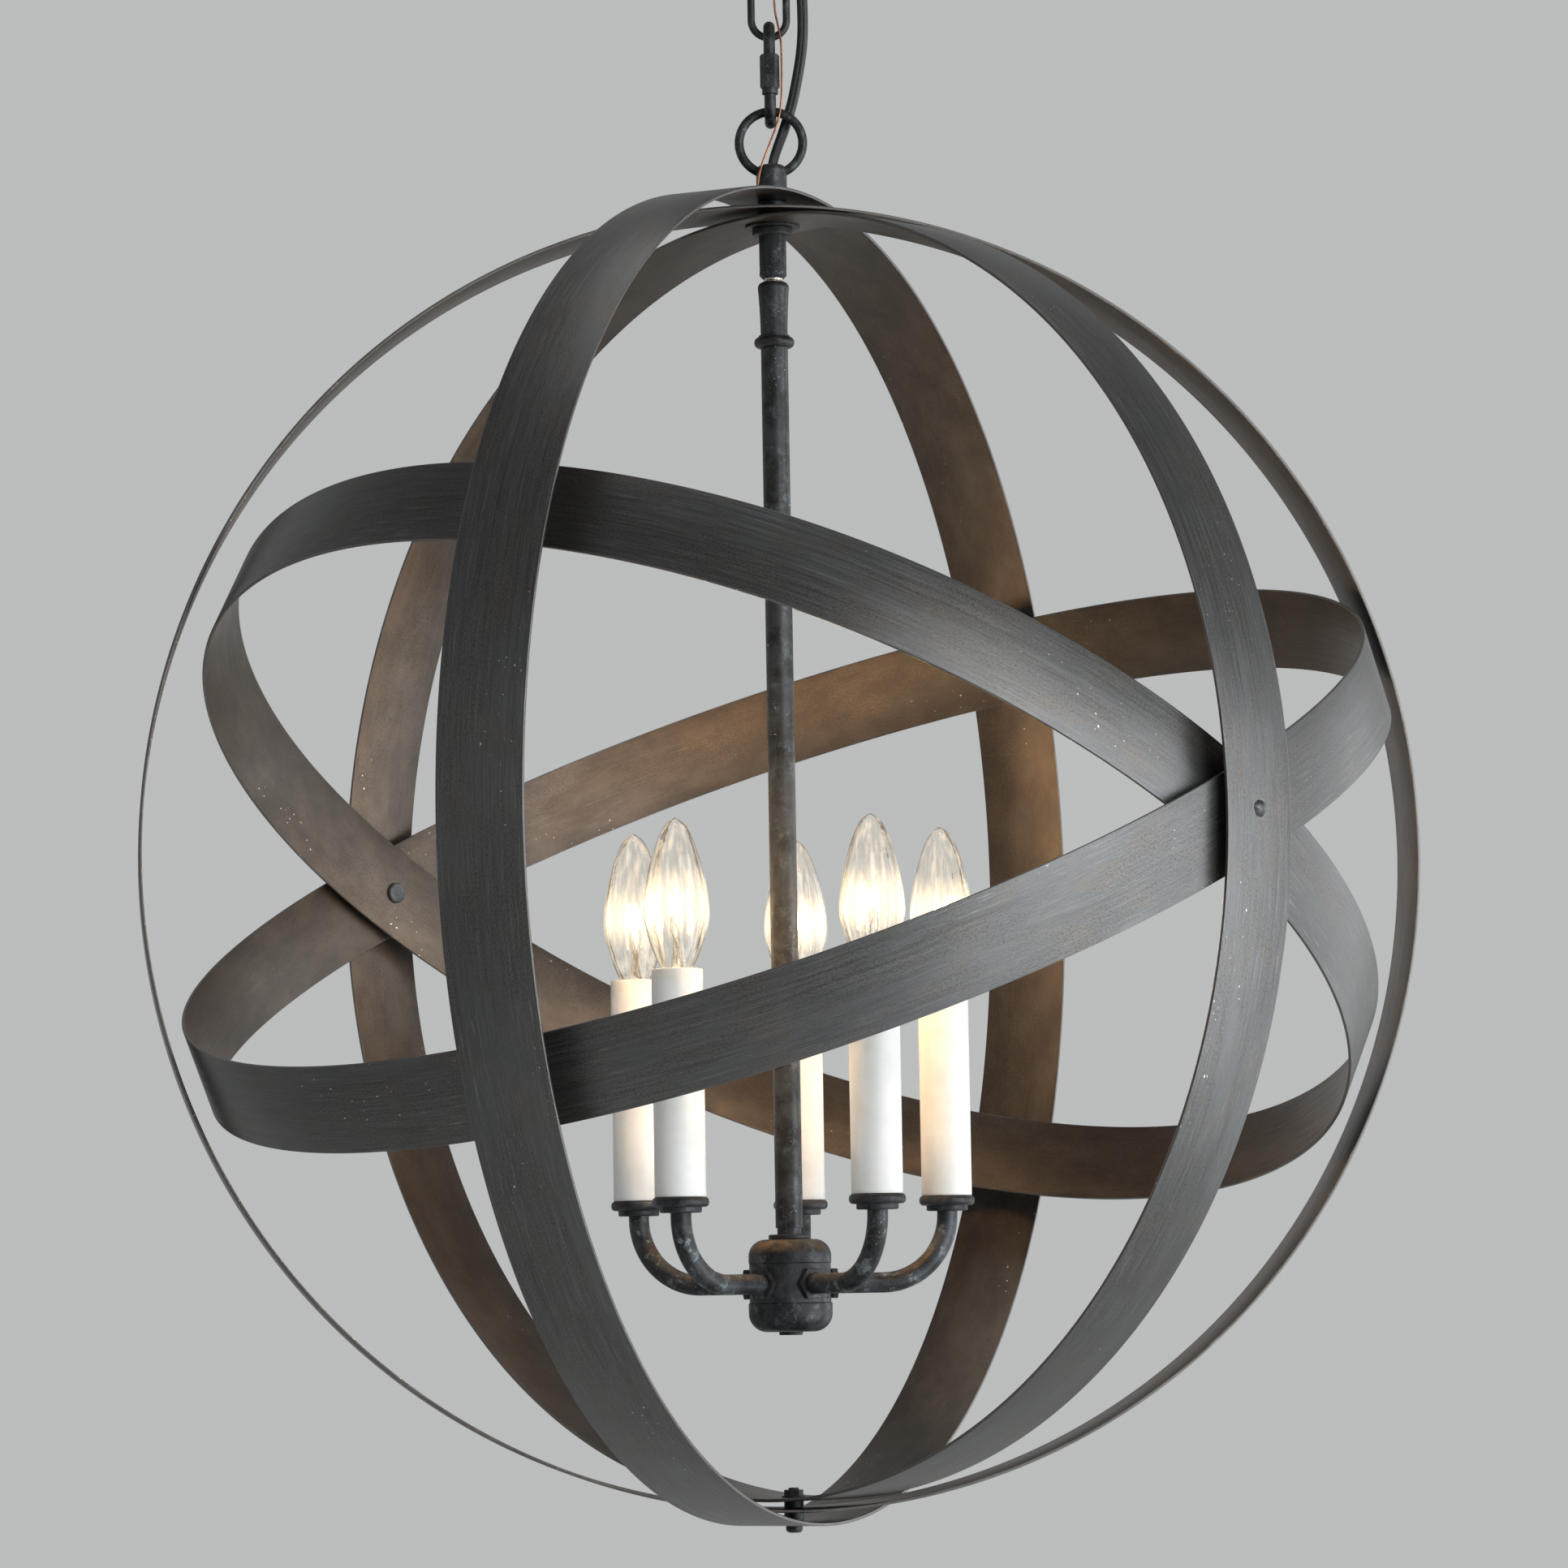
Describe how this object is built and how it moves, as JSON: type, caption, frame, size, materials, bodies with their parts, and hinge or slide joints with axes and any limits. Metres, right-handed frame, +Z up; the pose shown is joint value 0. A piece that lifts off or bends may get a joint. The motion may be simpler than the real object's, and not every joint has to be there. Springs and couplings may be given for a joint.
{
  "type": "orb chandelier",
  "caption": "Hanging orb chandelier: nested upright and tilted strap hoops around a candle cluster on a central stem, hung from a domed canopy by a short chain with its cord",
  "frame": {"origin": "centre of the canopy's rim in the ceiling plane, at the middle of the crossbar's two slots", "axes": "+Z up, straight up from the object into the ceiling; +Y away from the viewer of the pictured side; +X to that viewer's right"},
  "size_m": [0.6122, 0.5972, 0.8112],
  "materials": {
    "hoop_steel": "dark gunmetal, brushed along the strap, worn satin",
    "fitting_black": "blue-black patina, rubbed brown on the high places",
    "bright_thread": "bare threaded metal",
    "zinc": "zinc-plated",
    "ground_green": "green",
    "cord_black": "black, soft sheen",
    "copper": "bare copper",
    "candle_white": "smooth satin white",
    "socket_white": "moulded",
    "bulb_glass": "clear, fluted"
  },
  "bodies": {
    "canopy": {"canopy": "fitting_black", "crossbar": "zinc", "canopy_nipple": "zinc", "canopy_locknuts": "zinc", "canopy_loop": "fitting_black", "canopy_collar": "fitting_black", "ground_screw": "ground_green", "supply_cord_upper": "cord_black", "ground_wire_upper": "copper"},
    "chain_link": {"chain_link": "fitting_black"},
    "quick_link": {"quick_link": "fitting_black", "supply_cord_middle": "cord_black", "ground_wire_middle": "copper"},
    "quick_link_sleeve": {"quick_link_sleeve": "fitting_black"},
    "orb": {"loop_boss": "fitting_black", "hoop_inner": "hoop_steel", "rivets": "hoop_steel", "rivet_spacers": "fitting_black", "top_nipple": "zinc", "top_spacers": "fitting_black", "top_washer": "fitting_black", "top_lock_ring": "fitting_black", "coupling": "fitting_black", "bottom_screw": "fitting_black", "bottom_spacers": "fitting_black", "bottom_nut": "fitting_black", "supply_cord_lower": "cord_black", "ground_wire_lower": "copper"},
    "hoop_outer": {"hoop_outer": "hoop_steel"},
    "hoop_middle": {"hoop_middle": "hoop_steel"},
    "tilt_hoop_outer": {"tilt_hoop_outer": "hoop_steel"},
    "tilt_hoop_inner": {"tilt_hoop_inner": "hoop_steel"},
    "cluster": {"swivel_nipple": "bright_thread", "ferrule": "fitting_black", "bead_collar": "fitting_black", "stem_tube": "fitting_black", "stem_collar": "fitting_black", "cap": "fitting_black", "hub": "fitting_black", "lower_cup": "fitting_black", "finial": "fitting_black", "cluster_nipple": "zinc", "arm_nuts": "fitting_black", "drip_pans": "fitting_black", "sockets": "socket_white", "arm_1": "fitting_black", "arm_2": "fitting_black", "arm_3": "fitting_black", "arm_4": "fitting_black", "arm_5": "fitting_black", "candle_sleeve_1": "candle_white", "candle_sleeve_2": "candle_white", "candle_sleeve_3": "candle_white", "candle_sleeve_4": "candle_white", "candle_sleeve_5": "candle_white"},
    "bulb_1": {"bulb_1": "bulb_glass"},
    "bulb_2": {"bulb_2": "bulb_glass"},
    "bulb_3": {"bulb_3": "bulb_glass"},
    "bulb_4": {"bulb_4": "bulb_glass"},
    "bulb_5": {"bulb_5": "bulb_glass"}
  },
  "joints": [
    {"name": "link_swing", "type": "hinge", "parent": "canopy", "child": "chain_link", "pos_m": [0, 0, -0.06435], "axis": [0, 1, 0], "range_deg": [-20, 20], "deforming": ["supply_cord_upper", "ground_wire_upper"]},
    {"name": "quick_link_swing", "type": "hinge", "parent": "chain_link", "child": "quick_link", "pos_m": [0, 0, -0.09365], "axis": [1, 0, 0], "range_deg": [-30, 30], "deforming": ["supply_cord_middle", "ground_wire_middle"]},
    {"name": "orb_swing", "type": "hinge", "parent": "quick_link", "child": "orb", "pos_m": [0, 0, -0.1354], "axis": [0, 1, 0], "range_deg": [-25, 25], "deforming": ["supply_cord_lower", "ground_wire_lower"]},
    {"name": "quick_link_open", "type": "slide", "parent": "quick_link", "child": "quick_link_sleeve", "axis": [0, 0, 1], "range_m": [0, 0.0064]},
    {"name": "outer_hoop_turn", "type": "hinge", "parent": "orb", "child": "hoop_outer", "pos_m": [0, 0, -0.49035], "axis": [0, 0, 1], "continuous": true},
    {"name": "middle_hoop_turn", "type": "hinge", "parent": "orb", "child": "hoop_middle", "pos_m": [0, 0, -0.49035], "axis": [0, 0, 1], "continuous": true},
    {"name": "outer_tilt", "type": "hinge", "parent": "orb", "child": "tilt_hoop_outer", "pos_m": [0, 0, -0.49035], "axis": [0.6947, -0.7193, 0], "range_deg": [-106, 57]},
    {"name": "inner_tilt", "type": "hinge", "parent": "orb", "child": "tilt_hoop_inner", "pos_m": [0, 0, -0.49035], "axis": [0.6947, -0.7193, 0], "range_deg": [-52, 112]},
    {"name": "stem_turn", "type": "hinge", "parent": "orb", "child": "cluster", "pos_m": [0, 0, -0.49035], "axis": [0, 0, 1], "range_deg": [-180, 180]},
    {"name": "bulb_1_out", "type": "slide", "parent": "cluster", "child": "bulb_1", "axis": [0, 0, 1], "range_m": [0, 0.026]},
    {"name": "bulb_2_out", "type": "slide", "parent": "cluster", "child": "bulb_2", "axis": [0, 0, 1], "range_m": [0, 0.026]},
    {"name": "bulb_3_out", "type": "slide", "parent": "cluster", "child": "bulb_3", "axis": [0, 0, 1], "range_m": [0, 0.026]},
    {"name": "bulb_4_out", "type": "slide", "parent": "cluster", "child": "bulb_4", "axis": [0, 0, 1], "range_m": [0, 0.026]},
    {"name": "bulb_5_out", "type": "slide", "parent": "cluster", "child": "bulb_5", "axis": [0, 0, 1], "range_m": [0, 0.026]}
  ]
}
